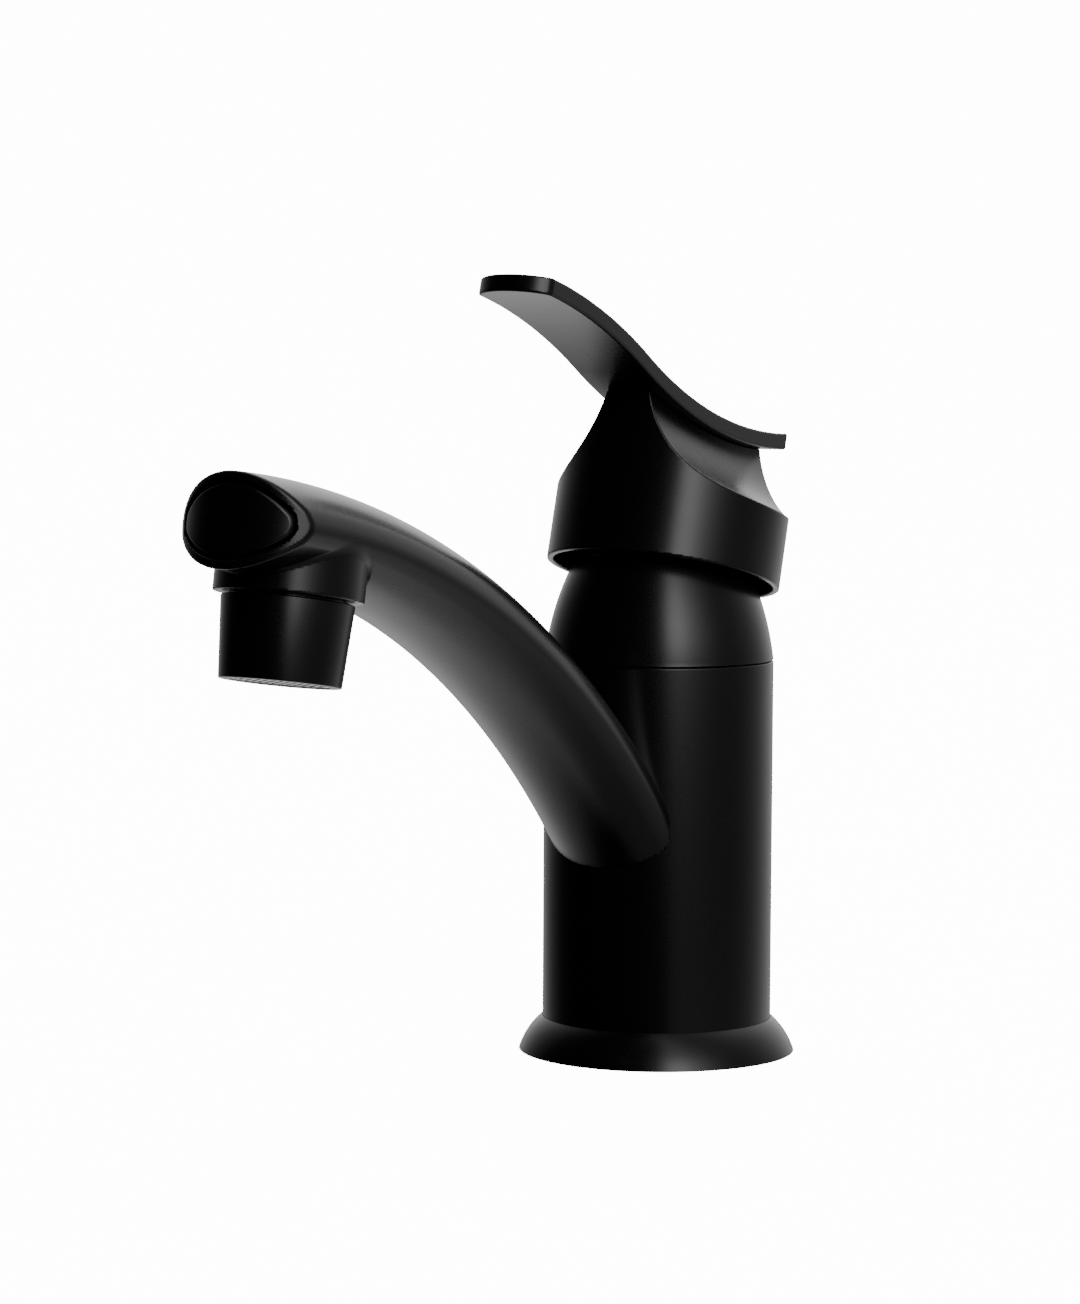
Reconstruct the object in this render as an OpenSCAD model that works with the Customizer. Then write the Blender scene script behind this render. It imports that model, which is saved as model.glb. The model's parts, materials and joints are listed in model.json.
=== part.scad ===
// Single-lever basin mixer. A round deck-mounted body carries an arched spout and a
// ceramic-disc cartridge. The lever handle turns about Z and lifts about X.
// Millimetres, +Z up. The origin is the centre of the base on the deck, and the spout
// points to -Y. The handle is drawn part lifted, which is its rest pose.

/* [Body] */
// Diameter of the round body
body_d = 52; // [51.5:0.5:54]
// Height of the seam between the body and the shroud
seam_z = 89; // [88:0.5:92]
// Diameter of the base flange where it meets the deck
flange_d = 62.7; // [61:0.1:66]
// Height of the base flange
flange_h = 7.7; // [6:0.1:9]

/* [Spout] */
// Forward reach from the body's axis to the middle of the spout's nose
reach = 162.9; // [161:0.1:164.5]
// Height of the spout's top line at the nose
top_z = 135.7; // [135:0.1:137]
// Radius of the arch along the top line
top_r = 224.1; // [218:0.1:230]
// Slope of the top line at the nose, in degrees
top_slope = 4.66; // [4.2:0.01:5]
// Height of the spout's bottom line at the nose
under_z = 116.4; // [115.6:0.1:116.6]
// Radius of the arch along the bottom line
under_r = 210.9; // [206:0.1:216]
// Slope of the bottom line at the nose, in degrees
under_slope = 6.37; // [6:0.01:6.8]
// Radius across the top surface
top_round = 18.8; // [18.6:0.1:19.6]
// Radius across the underside
under_round = 20.6; // [20.4:0.1:21.6]
// Full width of the spout between its flat sides
spout_w = 32.2; // [31.6:0.1:32.3]

/* [Outlet] */
// Distance from the body's axis to the centre of the outlet
outlet_reach = 145.2; // [144.4:0.1:146]
// Height of the outlet's rim above the deck
outlet_z = 93.4; // [92.8:0.1:94.2]
// Forward tilt of the water jet, in degrees
outlet_tilt = 9.5; // [8:0.1:11]
// Outer diameter of the aerator sleeve at its rim
sleeve_d = 24.4; // [24:0.1:24.8]
// Outer diameter of the collar above the sleeve
collar_d = 30; // [29.4:0.1:30.6]

/* [Handle] */
// Height of the lift pivot
pivot_z = 103; // [102.8:0.1:103.2]
// Lift of the handle as drawn, in degrees from closed
lift_rest = 15.1; // [5:0.1:20]
// Outer diameter of the handle's skirt
skirt_d = 53.2; // [53:0.1:54]
// Width of the lever blade
blade_w = 18.4; // [16:0.1:20]
// Thickness of the lever blade
blade_t = 3.8; // [3.4:0.1:4.2]
// Distance from the pivot's axis to the blade's front tip
blade_front = 81; // [75:0.5:86]
// Distance from the pivot's axis to the blade's rear end
blade_rear = 32; // [28:0.5:34]

/* [Hidden] */
$fn = 96;
eps = 0.01;
over = 1;
fit_gap = 0.05;
press_gap = 0.02;
wire_fn = 32;
arch_fn = 180;
fine_fn = 360;
hexagon = 6;
body_r = body_d / 2;

// base flange and gasket
web_t = 2;
foot_r = 22.6;
flare_r = 16.4;
flare_z = -5.04;
flare_x = flange_d / 2 - sqrt(flare_r * flare_r - flare_z * flare_z);
gasket_r = [25, 28.5];
gasket_t = 1.2;

// body shell, with the inlet block and the cast waterway inside it
shell_bore_r = 22.5;
core_r = shell_bore_r - fit_gap;
foot_z = 26;
block_top_z = 40;
chamber_top_z = 66;
chamber_r = 18.5;
seat_deep = 19;
seat_z = seam_z - seat_deep;
seat_r = 17.6;
nut_deep = 10;
nut_seat_z = seam_z - nut_deep;
nut_seat_r = 20.5;
edge = 0.5;
core_top_z = seam_z - edge;
inlet_x = 7;
inlet_y = -4;
inlet_r = 3;
riser_r = 5.6;
inlet_thread_r = 4.46;
inlet_thread_l = 12;
stud_y = 13.5;
stud_thread_r = 3.4;
stud_thread_l = 12;
drain_y = 7.5;
drain_r = 3.2;
peg_r = 1.5;
peg_x = 12.5;

// spout: a top surface and an underside, each a round section swept along its own arch
top_centre = [-reach - top_r * sin(top_slope), top_z - top_r * cos(top_slope)];
under_centre = [-reach - under_r * sin(under_slope), under_z - under_r * cos(under_slope)];
top_root = asin((-body_r - top_centre[0]) / top_r);
under_root = asin((-body_r - under_centre[0]) / under_r);
top_root_z = top_centre[1] + top_r * cos(top_root);
under_root_z = under_centre[1] + under_r * cos(under_root);
root_turn = (top_root + under_root) / 2;
root_z = (top_root_z + under_root_z) / 2;
nose_mid_z = (top_z + under_z) / 2;
nose_ahead = 1.8;
nose_front = (reach - outlet_reach) * cos(outlet_tilt) + (nose_mid_z - outlet_z) * sin(outlet_tilt);
nose_r = nose_front - nose_ahead;
arch_slack = 4;
spout_wall = 2.8;
root_over = 5;
tip_over = 3;
cap_stop = under_slope + tip_over;
hollow_stop = root_turn - 4;
spigot_r = 7;
spigot_l = 9;
spigot_bore_r = 3.5;
spigot_seal_z = 6.15;
spigot_ring_r = spigot_r - 1;
seal_wire_r = 1;
seal_groove_r = 1.15;
elbow_l = 6;
slope_bore_l = [4, 20];
cap_inset = 2;
cap_side = 0.9;
cap_deep = 4;
cap_gap = 0.35;
cap_seal_t = 0.8;

// outlet, in a frame whose origin is the centre of the sleeve's rim
sleeve_h = 16.5;
sleeve_flare = 2.2;
sleeve_top_d = sleeve_d + sleeve_flare;
collar_gap = 0.5;
collar_z = sleeve_h + collar_gap;
collar_h = 8;
shoulder_r = 6;
thread_r = 11.5;
thread_l = 8;
thread_ledge = 2;
neck_l = 7;
sleeve_bore_r = 10.3;
lip_r = 9.9;
lip_t = 0.6;
mesh_t = 0.9;
mesh_pitch = 2;
mesh_hole = 1.5;
mesh_count = 4;
insert_wall = 1.3;
jet_plate_z = 8;
jet_plate_t = 1.5;
jet_r = 0.7;
jet_step = 30;
regulator_r = 2;
regulator_t = 3;
washer_t = 1.5;

// cartridge
disc_t = 4.5;
base_h = 9.5;
base_top_z = seat_z + base_h;
base_gap = 0.5;
port_seal_r = [3.2, 5.2];
port_seal_t = 1.4;
shell_r = 17.4;
shell_in_r = 15;
shell_h = 20.5;
shell_top_z = base_top_z + shell_h;
shell_roof_t = 1.7;
neck_r = 12.8;
neck_in_r = 10.68;
neck_h = 9;
neck_top_z = shell_top_z + neck_h;
fixed_disc_r = 14.6;
moving_disc_r = 10.8;
port_r = 2.6;
carrier_r = 6.5;
carrier_plate_r = 10;
carrier_plate_t = 2;
carrier_drop = 4;
mix_y = [1.5, 5.2];
mix_r = [5.2, 4];
mix_h = 2.2;
rotor_r = 10.6;
rotor_flange_r = 14.5;
rotor_flange_t = 1;
rotor_over = 1;
rotor_top_z = neck_top_z + rotor_over;
rotor_gap = 0.3;
rotor_slot_w = 8.7;
rotor_slot_l = 18;
pin_r = 2;
pin_gap = 0.06;
pin_l = 20.2;
arm_l = 9;
arm_r = 1.7;
ball_r = 2.7;
pocket_r = 3.1;
drive_y = -arm_l * sin(lift_rest);

// retaining nut and shroud
nut_r = nut_seat_r - fit_gap;
nut_in_r = 17.7;
nut_over = 3;
nut_top_z = shell_top_z + nut_over;
nut_roof_r = 13.3;
nut_slots = 4;
nut_slot_w = 4;
nut_slot_t = 1.5;
shroud_arc_r = 64;
shroud_lean = 6;
shroud_cx = body_r - shroud_arc_r * cos(shroud_lean);
shroud_cz = seam_z - shroud_arc_r * sin(shroud_lean);
shroud_gap = 0.3;
shroud_neck_gap = 0.4;
shroud_h = 24;
shroud_wall = 1.8;
shroud_rib_r = 21.6;
shroud_rib_h = 3;
seam_ring_r = 24;
seam_wire_r = 0.9;

// handle, in a frame whose origin is the lift pivot with the handle level
skirt_r = skirt_d / 2;
skirt_wall = 1.5;
skirt_z = 5.3;
hub_top_z = 48;
cavity_z = 14;
cavity_ball_r = 22.3;
scoop_r = 26.96;
scoop_x = 31.9;
scoop_z = 47.7;
crest_y = -72;
crest_r = 140;
dip_y = 1;
dip_z = 42.7;
dip_r = 127;
crest_z = dip_z + (crest_r + dip_r) - sqrt(pow(crest_r + dip_r, 2) - pow(dip_y - crest_y, 2));
crest_cz = crest_z - crest_r;
dip_cz = dip_z + dip_r;
sway = atan2(dip_y - crest_y, dip_cz - crest_cz);
blade_tip_r = 12;
stem_w = 8;
stem_top_z = 33;
stem_foot_z = -3.5;
grub_z = 26;
grub_r = 2.5;
grub_l = 8;
key_r = 1.45;
key_deep = 2.5;
plug_r = 3;
plug_l = 2;
plug_gap = 1;
blade_screw_y = [-9.5, -19];
blade_screw_z = 28;
blade_screw_top = 41.6;
blade_screw_r = 2;
blade_head_r = 3.4;
blade_head_h = 3.2;
screw_gap = 0.2;

// ---------- frames and shared shapes ----------

// A ring between two radii
module ring(r_in, r_out, h) {
    difference() {
        cylinder(r = r_out, h = h);
        translate([0, 0, -eps]) cylinder(r = r_in, h = h + 2 * eps);
    }
}

// A round rubber ring of a given wire radius
module wire_ring(r, wire_r) {
    rotate_extrude() translate([r, 0]) circle(r = wire_r, $fn = wire_fn);
}

// Places its children at the spout's root, with +Z down along the arch
module at_root() {
    translate([0, -body_r, root_z]) rotate([-90 - root_turn, 0, 0]) children();
}

// Places its children at the spout's root, with +Z level into the body
module at_spigot() {
    translate([0, -body_r, root_z]) rotate([-90, 0, 0]) children();
}

// Places its children at the outlet, with +Z up the tilted outlet axis
module at_outlet() {
    translate([0, -outlet_reach, outlet_z]) rotate([-outlet_tilt, 0, 0]) children();
}

// Places its children in the handle's own frame, lifted to the rest pose
module at_handle() {
    translate([0, 0, pivot_z]) rotate([-lift_rest, 0, 0]) children();
}

// Sweeps a flat section about an axis along X; angles run from straight up towards +Y
module sweep_x(from, to) {
    rotate([0, -90, 0]) rotate([0, 0, from]) rotate_extrude(angle = to - from, $fn = arch_fn)
        children();
}

// A flat-sided round section swept between two angles about the middle of its arch
module swept_round(centre, middle_r, r, half_w, from, to) {
    translate([0, centre[0], centre[1]]) sweep_x(from, to) intersection() {
        translate([middle_r, 0]) circle(r = r);
        translate([middle_r - r, -half_w]) square([2 * r, 2 * half_w]);
    }
}

// The arched spout between two angles, or a smaller one inside it
module arch(inset, from, to, side_inset = 0) {
    half_w = spout_w / 2 - (side_inset > 0 ? side_inset : inset);
    top = top_round - inset;
    under = under_round - inset;
    intersection() {
        swept_round(top_centre, top_r - top_round, top, half_w, from, to);
        swept_round(under_centre, under_r + under_round, under, spout_w,
            from - arch_slack, to + arch_slack);
    }
}

// An upright drum behind the nose's rounded front
module nose(r) {
    at_outlet() translate([0, -nose_ahead, -eps]) cylinder(r = r, h = 4 * spout_w);
}

// What lies in front of a nose of the given plan radius
module beyond_nose(r) {
    difference() {
        at_outlet() translate([-spout_w, -2 * spout_w, 0]) cube([2 * spout_w, 2 * spout_w, 3 * spout_w]);
        nose(r);
    }
}

// The cartridge's three ports: two inlets and the mixed water outlet
module at_ports() {
    for (side = [-1, 1]) translate([side * inlet_x, inlet_y, 0]) children();
    translate([0, drain_y, 0]) children();
}

// ---------- base ----------

module base_flange() {
    color("black") difference() {
        rotate_extrude() intersection() {
            translate([flare_x, flare_z]) circle(r = flare_r);
            translate([foot_r, 0]) square([body_r, flange_h]);
        }
        translate([0, 0, web_t]) cylinder(r = body_r + fit_gap, h = flange_h);
        translate([0, 0, -eps]) ring(gasket_r[0], gasket_r[1], gasket_t + eps);
    }
}

module base_gasket() {
    color("dimgray") ring(gasket_r[0] + fit_gap, gasket_r[1] - fit_gap, gasket_t - fit_gap);
}

// ---------- body ----------

// The round outer shell; the waterway and the inlet block fill it above the foot
module body() {
    color("black") difference() {
        union() {
            translate([0, 0, web_t]) cylinder(r = body_r, h = seam_z - web_t - edge);
            translate([0, 0, seam_z - edge]) cylinder(r1 = body_r, r2 = body_r - edge, h = edge);
        }
        translate([0, 0, web_t - eps]) cylinder(r = shell_bore_r, h = seam_z);
        spigot_hole();
        translate([0, 0, seam_z]) wire_ring(seam_ring_r, seam_wire_r + fit_gap);
    }
}

module spigot_hole() {
    at_spigot() translate([0, 0, -eps]) cylinder(r = spigot_r + fit_gap, h = body_r - chamber_r / 2);
}

// Closes the foot's ceiling and is tapped for two supply hoses and the fixing stud
module inlet_block() {
    color("goldenrod") difference() {
        translate([0, 0, foot_z]) cylinder(r = core_r, h = block_top_z - foot_z);
        for (side = [-1, 1]) translate([side * inlet_x, inlet_y, foot_z - eps]) {
            cylinder(r = inlet_thread_r, h = inlet_thread_l + eps);
            cylinder(r = inlet_r, h = block_top_z);
        }
        translate([0, stud_y, foot_z - eps]) cylinder(r = stud_thread_r, h = stud_thread_l + eps);
    }
}

// One casting: two inlet risers in an outlet chamber, and the cartridge's seat on top
module waterway() {
    color("goldenrod") difference() {
        translate([0, 0, block_top_z]) cylinder(r = core_r, h = core_top_z - block_top_z);
        difference() {
            translate([0, 0, block_top_z - eps]) cylinder(r = chamber_r, h = chamber_top_z - block_top_z);
            for (side = [-1, 1])
                translate([side * inlet_x, inlet_y, 0]) cylinder(r = riser_r, h = seat_z);
        }
        spigot_hole();
        waterway_seat();
    }
}

// The stepped bore that takes the cartridge and its nut, with the ports in its floor
module waterway_seat() {
    translate([0, 0, seat_z]) cylinder(r = seat_r, h = seam_z);
    translate([0, 0, nut_seat_z]) cylinder(r = nut_seat_r, h = seam_z);
    translate([0, drain_y, chamber_top_z - over]) cylinder(r = drain_r, h = seat_z);
    for (side = [-1, 1]) {
        translate([side * inlet_x, inlet_y, foot_z]) cylinder(r = inlet_r, h = seat_z);
        translate([side * peg_x, drain_y, seat_z - 2 * peg_r]) cylinder(r = peg_r + fit_gap, h = seat_z);
    }
}

// ---------- spout ----------

module spout() {
    color("black") {
        difference() {
            union() {
                arch(0, -tip_over, root_turn + root_over);
                spout_collar();
            }
            beyond_nose(nose_r);
            arch(spout_wall, top_slope, hollow_stop);
            spout_cap_seat();
            spout_outlet_bore();
            cylinder(r = body_r + fit_gap / 2, h = 2 * seam_z);
            spout_elbow();
        }
        spout_spigot();
    }
}

// The short round collar under the tip, with a rounded shoulder into the arch
module spout_collar() {
    at_outlet() translate([0, 0, collar_z]) rotate_extrude() {
        square([collar_d / 2, collar_h]);
        square([collar_d / 2 - shoulder_r, collar_h + shoulder_r]);
        translate([collar_d / 2 - shoulder_r, collar_h]) circle(r = shoulder_r);
    }
}

// The oval pocket in the nose that the end cap closes
module spout_cap_seat() {
    difference() {
        arch(cap_inset, -tip_over, cap_stop, cap_side);
        nose(nose_r - cap_deep);
    }
}

module spout_outlet_bore() {
    at_outlet() translate([0, 0, collar_z - eps]) {
        cylinder(r = thread_r, h = thread_l + eps);
        cylinder(r = thread_r - thread_ledge, h = collar_h + shoulder_r);
    }
}

// The water's way from the spigot into the hollow arch
module spout_elbow() {
    at_spigot() translate([0, 0, -elbow_l]) cylinder(r = spigot_bore_r, h = elbow_l + 2 * spigot_l);
    at_root() translate([0, 0, -slope_bore_l[1]])
        cylinder(r = spigot_bore_r, h = slope_bore_l[1] - slope_bore_l[0]);
}

// The tail that plugs into the body, grooved for its seal
module spout_spigot() {
    difference() {
        intersection() {
            at_spigot() translate([0, 0, -elbow_l]) cylinder(r = spigot_r, h = elbow_l + spigot_l);
            cylinder(r = body_r + over, h = 2 * seam_z);
        }
        spout_elbow();
        at_spigot() translate([0, 0, spigot_seal_z]) wire_ring(spigot_ring_r, seal_groove_r);
    }
}

module spout_root_seal() {
    color("dimgray") at_spigot() translate([0, 0, spigot_seal_z])
        wire_ring(spigot_ring_r - fit_gap, seal_wire_r);
}

module spout_end_cap() {
    color("black") difference() {
        arch(cap_inset + cap_gap, -tip_over, cap_stop, cap_side + cap_gap);
        beyond_nose(nose_r);
        nose(nose_r - cap_deep + cap_seal_t + fit_gap);
    }
}

module end_cap_seal() {
    color("dimgray") difference() {
        arch(cap_inset + cap_gap, -tip_over, cap_stop, cap_side + cap_gap);
        beyond_nose(nose_r - cap_deep + cap_seal_t);
        arch(spout_wall + cap_gap, -tip_over, cap_stop + tip_over);
        nose(nose_r - cap_deep + fit_gap);
    }
}

// ---------- aerator ----------

module aerator_sleeve() {
    color("black") at_outlet() difference() {
        union() {
            cylinder(d1 = sleeve_d, d2 = sleeve_top_d, h = sleeve_h);
            cylinder(r = thread_r - fit_gap, h = sleeve_h + neck_l);
        }
        translate([0, 0, -eps]) cylinder(r = lip_r, h = sleeve_h);
        translate([0, 0, lip_t]) cylinder(r = sleeve_bore_r, h = 2 * sleeve_h);
    }
}

// A stepped disc that rests on the sleeve's lip, with its face level with the rim
module aerator_mesh() {
    color("lightgray") at_outlet() difference() {
        union() {
            translate([0, 0, fit_gap]) cylinder(r = lip_r - fit_gap, h = mesh_t);
            translate([0, 0, lip_t + fit_gap]) cylinder(r = sleeve_bore_r - 2 * fit_gap, h = mesh_t - lip_t);
        }
        for (x = [-mesh_count:mesh_count], y = [-mesh_count:mesh_count]) {
            if (norm([x, y]) * mesh_pitch < lip_r - mesh_hole)
                translate([x * mesh_pitch - mesh_hole / 2, y * mesh_pitch - mesh_hole / 2, 0])
                    cube([mesh_hole, mesh_hole, mesh_t + over]);
        }
    }
}

module aerator_insert() {
    insert_z = mesh_t + 2 * fit_gap;
    color("gainsboro") at_outlet() difference() {
        translate([0, 0, insert_z])
            cylinder(r = sleeve_bore_r - 2 * fit_gap, h = sleeve_h + neck_l - insert_z);
        translate([0, 0, insert_z - eps])
            cylinder(r = sleeve_bore_r - insert_wall, h = jet_plate_z - insert_z);
        translate([0, 0, jet_plate_z + jet_plate_t])
            cylinder(r = sleeve_bore_r - insert_wall, h = sleeve_h);
        for (turn = [0:jet_step:360 - jet_step])
            rotate([0, 0, turn]) translate([sleeve_bore_r / 2, 0, 0]) cylinder(r = jet_r, h = sleeve_h);
    }
}

module flow_regulator() {
    color("seagreen") at_outlet() translate([0, 0, jet_plate_z + jet_plate_t + fit_gap])
        ring(regulator_r, sleeve_bore_r - insert_wall - fit_gap, regulator_t);
}

module aerator_washer() {
    color("dimgray") at_outlet() translate([0, 0, sleeve_h + neck_l + fit_gap])
        ring(thread_r - thread_ledge, thread_r - 2 * fit_gap, washer_t - 2 * fit_gap);
}

// ---------- shroud and nut ----------

module cartridge_shroud() {
    color("black") difference() {
        rotate_extrude() {
            difference() {
                intersection() {
                    translate([shroud_cx, shroud_cz]) circle(r = shroud_arc_r, $fn = fine_fn);
                    translate([neck_r + shroud_neck_gap, seam_z + shroud_gap])
                        square([body_r, shroud_h - shroud_gap]);
                }
                intersection() {
                    translate([shroud_cx, shroud_cz]) circle(r = shroud_arc_r - shroud_wall, $fn = fine_fn);
                    translate([0, seam_z]) square([body_r, shroud_h - shroud_wall]);
                }
            }
            translate([shroud_rib_r, seam_z + shroud_gap])
                square([body_r - shroud_rib_r - shroud_wall / 2, shroud_rib_h]);
        }
        translate([0, 0, seam_z]) wire_ring(seam_ring_r, seam_wire_r + fit_gap);
    }
}

module shroud_o_ring() {
    color("dimgray") translate([0, 0, seam_z]) wire_ring(seam_ring_r, seam_wire_r);
}

module retaining_nut() {
    color("goldenrod") difference() {
        translate([0, 0, nut_seat_z + fit_gap]) cylinder(r = nut_r, h = nut_top_z - nut_seat_z - fit_gap);
        translate([0, 0, nut_seat_z]) cylinder(r = nut_in_r, h = shell_top_z + fit_gap - nut_seat_z);
        cylinder(r = nut_roof_r, h = 2 * seam_z);
        for (i = [1:nut_slots])
            rotate([0, 0, i * 180 / nut_slots])
                translate([-body_r, -nut_slot_w / 2, nut_top_z - nut_slot_t])
                    cube([body_d, nut_slot_w, 2 * nut_slot_t]);
    }
}

// ---------- cartridge ----------

module cartridge_base() {
    color("white") difference() {
        union() {
            translate([0, 0, seat_z + base_gap])
                cylinder(r = shell_r, h = base_top_z - seat_z - base_gap);
            for (side = [-1, 1])
                translate([side * peg_x, drain_y, seat_z - peg_r]) cylinder(r = peg_r, h = 2 * peg_r);
        }
        at_ports() {
            translate([0, 0, seat_z]) cylinder(r = port_r, h = seat_z);
            translate([0, 0, seat_z]) cylinder(r = port_seal_r[1] + fit_gap, h = port_seal_t + fit_gap);
        }
    }
}

module port_seals() {
    color("dimgray") translate([0, 0, seat_z + fit_gap / 2]) at_ports()
        ring(port_seal_r[0], port_seal_r[1], port_seal_t - fit_gap);
}

module cartridge_housing() {
    color("white") difference() {
        union() {
            translate([0, 0, base_top_z]) cylinder(r = shell_r, h = shell_top_z - base_top_z);
            translate([0, 0, shell_top_z - eps]) cylinder(r = neck_r, h = neck_top_z - shell_top_z);
        }
        translate([0, 0, base_top_z - eps])
            cylinder(r = shell_in_r, h = shell_top_z - shell_roof_t - base_top_z);
        translate([0, 0, base_top_z]) cylinder(r = neck_in_r, h = 2 * seat_z);
    }
}

module fixed_disc() {
    color("gainsboro") difference() {
        translate([0, 0, base_top_z + fit_gap]) cylinder(r = fixed_disc_r, h = disc_t - fit_gap);
        at_ports() translate([0, 0, base_top_z - over]) cylinder(r = port_r, h = 2 * disc_t);
    }
}

// Slides on the fixed disc; the blind chamber in its underside joins the ports
module moving_disc() {
    color("gainsboro") translate([0, drive_y, base_top_z + disc_t + fit_gap]) difference() {
        cylinder(r = moving_disc_r, h = disc_t - fit_gap);
        for (i = [0, 1]) translate([0, mix_y[i], -over]) cylinder(r = mix_r[i], h = mix_h + over);
    }
}

module disc_carrier() {
    carrier_z = base_top_z + 2 * disc_t + fit_gap;
    carrier_top = shell_top_z - carrier_drop;
    color("orange") translate([0, drive_y, carrier_z]) difference() {
        union() {
            cylinder(r = carrier_plate_r, h = carrier_plate_t);
            cylinder(r = carrier_r, h = carrier_top - carrier_z);
        }
        translate([0, 0, carrier_plate_t]) cylinder(r = pocket_r, h = carrier_top);
    }
}

// Turns in the housing's neck; its slot lets the stem tilt on the pivot pin
module cartridge_rotor() {
    flange_z = shell_top_z - shell_roof_t - rotor_gap - rotor_flange_t;
    color("orange") difference() {
        union() {
            translate([0, 0, flange_z]) cylinder(r = rotor_flange_r, h = rotor_flange_t);
            translate([0, 0, flange_z + eps]) cylinder(r = rotor_r, h = rotor_top_z - flange_z);
        }
        translate([-rotor_slot_w / 2, -rotor_slot_l / 2, flange_z - over])
            cube([rotor_slot_w, rotor_slot_l, rotor_top_z]);
        translate([-body_r, 0, pivot_z]) rotate([0, 90, 0]) cylinder(r = pin_r + press_gap, h = body_d);
    }
}

module pivot_pin() {
    color("silver") translate([-pin_l / 2, 0, pivot_z]) rotate([0, 90, 0]) cylinder(r = pin_r, h = pin_l);
}

// ---------- handle ----------

// A square stem on the pivot pin; the ball on its lower arm drives the disc carrier
module lever_stem() {
    color("silver") at_handle() difference() {
        union() {
            translate([-stem_w / 2, -stem_w / 2, stem_foot_z])
                cube([stem_w, stem_w, stem_top_z - stem_foot_z]);
            translate([0, 0, -arm_l]) cylinder(r = arm_r, h = arm_l);
            translate([0, 0, -arm_l]) sphere(r = ball_r);
        }
        translate([-stem_w, 0, 0]) rotate([0, 90, 0]) cylinder(r = pin_r + pin_gap, h = 2 * stem_w);
    }
}

// Skirt and saddle in one casting: a round skirt cut by a scoop on each side
module handle_hub() {
    color("black") at_handle() difference() {
        translate([0, 0, skirt_z]) cylinder(r = skirt_r, h = hub_top_z - skirt_z);
        for (side = [-1, 1])
            translate([side * scoop_x, skirt_d, scoop_z]) rotate([90, 0, 0])
                cylinder(r = scoop_r, h = 2 * skirt_d);
        translate([-skirt_d, dip_y, dip_cz]) rotate([0, 90, 0])
            cylinder(r = dip_r + blade_t + fit_gap / 2, h = 2 * skirt_d, $fn = fine_fn);
        cylinder(r = skirt_r - skirt_wall, h = cavity_z);
        sphere(r = cavity_ball_r);
        translate([-stem_w / 2 - fit_gap, -stem_w / 2 - fit_gap, 0])
            cube([stem_w + 2 * fit_gap, stem_w + 2 * fit_gap, stem_top_z + fit_gap]);
        hub_screw_holes();
    }
}

module hub_screw_holes() {
    translate([0, 0, grub_z]) rotate([-90, 0, 0]) {
        cylinder(r = grub_r + press_gap, h = skirt_d);
        translate([0, 0, stem_w / 2 + grub_l + plug_gap]) cylinder(r = plug_r + press_gap, h = skirt_d);
    }
    for (y = blade_screw_y) translate([0, y, 0]) {
        cylinder(r = blade_head_r + screw_gap, h = blade_screw_z);
        cylinder(r = blade_screw_r + 2 * fit_gap, h = hub_top_z);
    }
}

// A curved plate that dips over the hub and crests near its tip
module lever_blade() {
    sway_y = crest_y + crest_r * sin(sway);
    color("black") at_handle() difference() {
        translate([-blade_w / 2, 0, 0]) rotate([90, 0, 90]) linear_extrude(blade_w) {
            blade_band([crest_y, crest_cz], crest_r - blade_t, -blade_front - eps, sway_y);
            blade_band([dip_y, dip_cz], dip_r, sway_y, blade_rear);
        }
        blade_tip_cut();
        for (y = blade_screw_y)
            translate([0, y, 0]) cylinder(r = blade_screw_r + press_gap, h = blade_screw_top + screw_gap);
    }
}

// A stretch of the blade's side view: a band outside an arc, between two places along Y
module blade_band(centre, r_in, from, to) {
    intersection() {
        translate(centre) difference() {
            circle(r = r_in + blade_t, $fn = fine_fn);
            circle(r = r_in, $fn = fine_fn);
        }
        translate([from, 0]) square([to - from, dip_cz]);
    }
}

// Rounds the blade's tip in plan
module blade_tip_cut() {
    tip_centre = -blade_front + blade_tip_r;
    difference() {
        translate([-blade_w, tip_centre - 2 * blade_w, 0]) cube([2 * blade_w, 2 * blade_w, 2 * hub_top_z]);
        translate([0, tip_centre, -eps]) cylinder(r = blade_tip_r, h = 3 * hub_top_z);
    }
}

module blade_screws() {
    head_z = blade_screw_z - blade_head_h;
    shank_z = blade_screw_z - over;
    color("silver") at_handle() for (y = blade_screw_y) translate([0, y, 0]) difference() {
        union() {
            translate([0, 0, head_z]) cylinder(r = blade_head_r, h = blade_head_h - press_gap);
            translate([0, 0, shank_z]) cylinder(r = blade_screw_r, h = blade_screw_top - shank_z);
        }
        translate([0, 0, head_z - over]) cylinder(r = key_r, h = key_deep + over, $fn = hexagon);
    }
}

module handle_grub_screw() {
    key_z = grub_l - key_deep;
    color("silver") at_handle()
        translate([0, stem_w / 2 + press_gap, grub_z]) rotate([-90, 0, 0]) difference() {
            cylinder(r = grub_r, h = grub_l);
            translate([0, 0, key_z]) cylinder(r = key_r, h = key_deep + over, $fn = hexagon);
        }
}

module grub_screw_plug() {
    color("black") at_handle() intersection() {
        translate([0, skirt_r - plug_l, grub_z]) rotate([-90, 0, 0]) cylinder(r = plug_r, h = 2 * plug_l);
        cylinder(r = skirt_r, h = hub_top_z);
    }
}

base_flange();
base_gasket();
body();
inlet_block();
waterway();
spout();
spout_root_seal();
spout_end_cap();
end_cap_seal();
aerator_sleeve();
aerator_insert();
aerator_mesh();
flow_regulator();
aerator_washer();
cartridge_shroud();
shroud_o_ring();
retaining_nut();
cartridge_housing();
cartridge_base();
port_seals();
fixed_disc();
cartridge_rotor();
pivot_pin();
disc_carrier();
moving_disc();
lever_stem();
handle_hub();
lever_blade();
blade_screws();
handle_grub_screw();
grub_screw_plug();
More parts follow.
